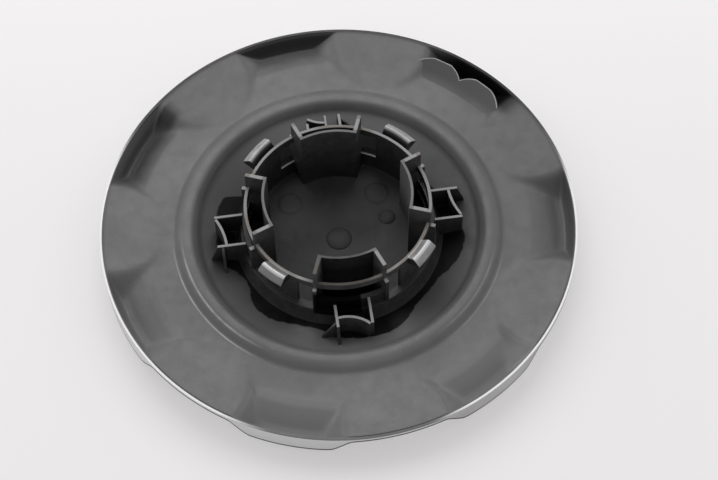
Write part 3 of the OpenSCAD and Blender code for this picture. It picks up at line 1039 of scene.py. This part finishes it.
# A leaning plate whose free edge is the outline of two round lobes, with a lip along it painted light, a
# painted highlight
def makeFlap():
    f = flap
    coated, brighter = 0, 1
    start = f["foot"] + f["lobesFrom"]
    chord = (f["lobeAt"] ** 2 + start ** 2 - f["lobeRadius"] ** 2) / (2 * f["lobeAt"] * start)
    half = f["lobeHalf"] + f["spread"] * math.degrees(math.acos(chord))
    cols, rows = 96, 9
    inner, outer = [], []
    for a in np.linspace(-half, half, cols + 1):
        reach = 0.0
        for lobe in (-f["lobeHalf"], f["lobeHalf"]):
            d = math.radians(a - lobe)
            d /= f["spread"] if d * lobe > 0 else 1.0
            inside = f["lobeRadius"] ** 2 - (f["lobeAt"] * math.sin(d)) ** 2
            if inside > 0:
                reach = max(reach, f["lobeAt"] * math.cos(d) + math.sqrt(inside))
        reach = min(max(reach, f["foot"] + f["leastReach"]), f["edge"])
        c, s = math.cos(math.radians(a)), math.sin(math.radians(a))
        for i in range(rows + 1):
            r = f["foot"] + (reach - f["lip"] - f["foot"]) * i / (rows - 1) if i < rows else reach
            z = f["footHeight"] + (r - f["foot"]) * f["slope"]
            inner.append((r * c, r * s, z))
            q = r + f["thick"] * f["backOut"]
            outer.append((q * c, q * s, z - f["thick"] * f["backDown"]))
    base, n = len(inner), rows + 1
    faces, faceSlots = [], []
    for j in range(cols):
        for i in range(rows):
            a, b, c, d = j * n + i, (j + 1) * n + i, (j + 1) * n + i + 1, j * n + i + 1
            faces += [(a, b, c, d), (base + a, base + d, base + c, base + b)]
            faceSlots += [brighter if i == rows - 1 else coated, coated]
        a, b = j * n, (j + 1) * n
        faces += [(a, base + a, base + b, b), (a + rows, b + rows, base + b + rows, base + a + rows)]
        faceSlots += [coated, brighter]
    for i in range(rows):
        a = cols * n + i
        faces += [(i, i + 1, base + i + 1, base + i), (a, base + a, base + a + 1, a + 1)]
        faceSlots += [coated, coated]
    shells = Shells()
    shells.add(inner + outer, faces)
    turn = capTurn + f["turn"]
    return shells.piece("keyFlap", [flapCoat, highlightEdge], f["round"], turn=turn, faceSlots=faceSlots)


keyFlap = makeFlap()

marks = {
    # place on the floor, radius, height, domed or flat
    "round": [
        (0.0, -1.1, 4.5, 1.2, True), (13.5, 17.3, 4.5, 0.4, False), (-17.2, 13.4, 4.5, 0.4, False),
        (17.0, 7.4, 3.0, 0.8, True),
    ],
    "sunk": 1.4,  # height of their foot, inside the floor
    "shoulder": 6,  # how steeply a flat one rises
}


def makeMarks():
    shells = Shells()
    steps, rings = 40, 8
    circle = [(math.cos(a), math.sin(a)) for a in np.linspace(0, 2 * math.pi, steps, endpoint=False)]
    for x, y, radius, height, domed in marks["round"]:
        points, faces = [], []
        for i in range(rings):
            t = i / rings
            q = radius * (math.cos(t * math.pi / 2) if domed else 1 - t)
            z = floorHeight + height * (math.sin(t * math.pi / 2) if domed else min(1, marks["shoulder"] * t))
            points += [(x + q * c, y + q * s, z) for c, s in circle]
        points.append((x, y, floorHeight + height))
        points += [(x + radius * c, y + radius * s, marks["sunk"]) for c, s in circle]
        top = rings * steps
        for j in range(steps):
            k = (j + 1) % steps
            for i in range(rings - 1):
                faces.append((i * steps + j, i * steps + k, (i + 1) * steps + k, (i + 1) * steps + j))
            faces.append(((rings - 1) * steps + j, (rings - 1) * steps + k, top))
            faces.append((top + 1 + j, top + 1 + k, k, j))
        faces.append(tuple(top + 1 + j for j in reversed(range(steps))))
        shells.add(points, faces)
    return shells.piece("floorMarks", [greyCoat], 0, turn=0)


floorMarks = makeMarks()

pieces = (
    scallopedDisc, barrelWall, posts, farHooks, nearHooks, sideRibs, farRibs, nearRibs, keyFlap, floorMarks,
)
for piece in pieces:
    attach(piece, "root")
    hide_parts("centre_cap")
print("pieces placed")

# Angles in degrees, pixels of the photograph's frame, depth in millimetres
view = {
    "elevation": 59.66,
    "roll": -1.03,
    "focal": 1800.0,
    "frame": (718, 480),
    "centre": (338.5, 221.15),  # where the cap's axis meets the rim's height
    "depth": 622.3,
    "sensor": 36,
}


def makeCamera():
    elevation, roll = math.radians(view["elevation"]), math.radians(view["roll"])
    ahead = Vector((0, math.cos(elevation), -math.sin(elevation)))
    right = Vector((1, 0, 0))
    up = right.cross(ahead)
    c, s = math.cos(roll), math.sin(roll)
    right, up = right * c + up * s, up * c - right * s
    width, height = view["frame"]
    scale = view["depth"] / view["focal"]
    aside = (view["centre"][0] - width / 2) * scale
    above = (height / 2 - view["centre"][1]) * scale
    place = Vector((0, 0, rimHeight)) - right * aside - up * above - ahead * view["depth"]
    data = bpy.data.cameras.new("camera")
    data.sensor_width = view["sensor"]
    data.lens = view["focal"] / width * view["sensor"]
    data.clip_start, data.clip_end = 0.01, 20
    camera = bpy.data.objects.new("camera", data)
    scene.collection.objects.link(camera)
    axes = Matrix((right, up, -ahead)).transposed().to_4x4()
    camera.matrix_world = Matrix.Translation(place * mm) @ axes
    scene.camera = camera


makeCamera()

studio = {
    "floor": (0.90, 0.885, 0.89),
    "floorFar": (0.99, 0.985, 0.985),
    "glowFar": (1.08, 1.075, 1.075),
    "farAt": 0.30,  # where the floor has its far tone
    "glow": 0.42,
    "halfSize": 3.0,
    "world": (1.0, 0.99, 0.99, 1),
    "worldStrength": 0.45,
    "aim": (0, 0, 0.01),
    "lamps": [
        # name, place, size, power
        ("softTop", (-0.15, 0.85, 1.1), 1.4, 9.5),
        ("softLeft", (-1.0, 0.35, 0.7), 0.8, 2.1),
        ("softRight", (0.95, 0.45, 0.7), 0.8, 1.7),
    ],
}


def makeFloor():
    f = Finish("paleFloor", rough=0.6, specular=0.2)
    # painted light: the floor is painted lighter, and glows more, towards the back
    far = f.between(f.parts(f.place)["Y"], 0.0, studio["farAt"])
    pale = f.mix(far, studio["floor"], studio["floorFar"])
    f.color(f.mix(f.times(f.grain("floorCloud"), 0.5), pale, studio["floor"]))
    # part of the floor's whiteness is its own for the camera and for reflections
    path = f.node("ShaderNodeLightPath")
    seen = f.math("MAXIMUM", path.outputs["Is Camera Ray"], path.outputs["Is Glossy Ray"])
    glow = f.node("ShaderNodeEmission")
    f.feed(glow.inputs["Color"], f.mix(far, studio["floor"], studio["glowFar"]))
    blend = f.node("ShaderNodeMixShader")
    f.join(f.times(seen, studio["glow"]), blend.inputs[0])
    f.join(f.shader.outputs[0], blend.inputs[1])
    f.join(glow.outputs[0], blend.inputs[2])
    f.join(blend.outputs[0], f.tree.nodes["Material Output"].inputs["Surface"])
    mesh = bpy.data.meshes.new("floor")
    size = studio["halfSize"]
    corners = [(-size, -size, 0), (size, -size, 0), (size, size, 0), (-size, size, 0)]
    mesh.from_pydata(corners, [], [(0, 1, 2, 3)])
    mesh.materials.append(f.material)
    floor = bpy.data.objects.new("floor", mesh)
    scene.collection.objects.link(floor)


def makeLight():
    world = bpy.data.worlds.new("studioWorld")
    world.use_nodes = True
    back = world.node_tree.nodes["Background"]
    back.inputs["Color"].default_value = studio["world"]
    back.inputs["Strength"].default_value = studio["worldStrength"]
    scene.world = world
    for name, place, size, power in studio["lamps"]:
        data = bpy.data.lights.new(name, "AREA")
        data.shape = "DISK"
        data.size = size
        data.energy = power
        lamp = bpy.data.objects.new(name, data)
        lamp.location = place
        lamp.rotation_mode = "QUATERNION"
        lamp.rotation_quaternion = (Vector(place) - Vector(studio["aim"])).to_track_quat("Z", "Y")
        scene.collection.objects.link(lamp)


makeFloor()
makeLight()
print("studio made")
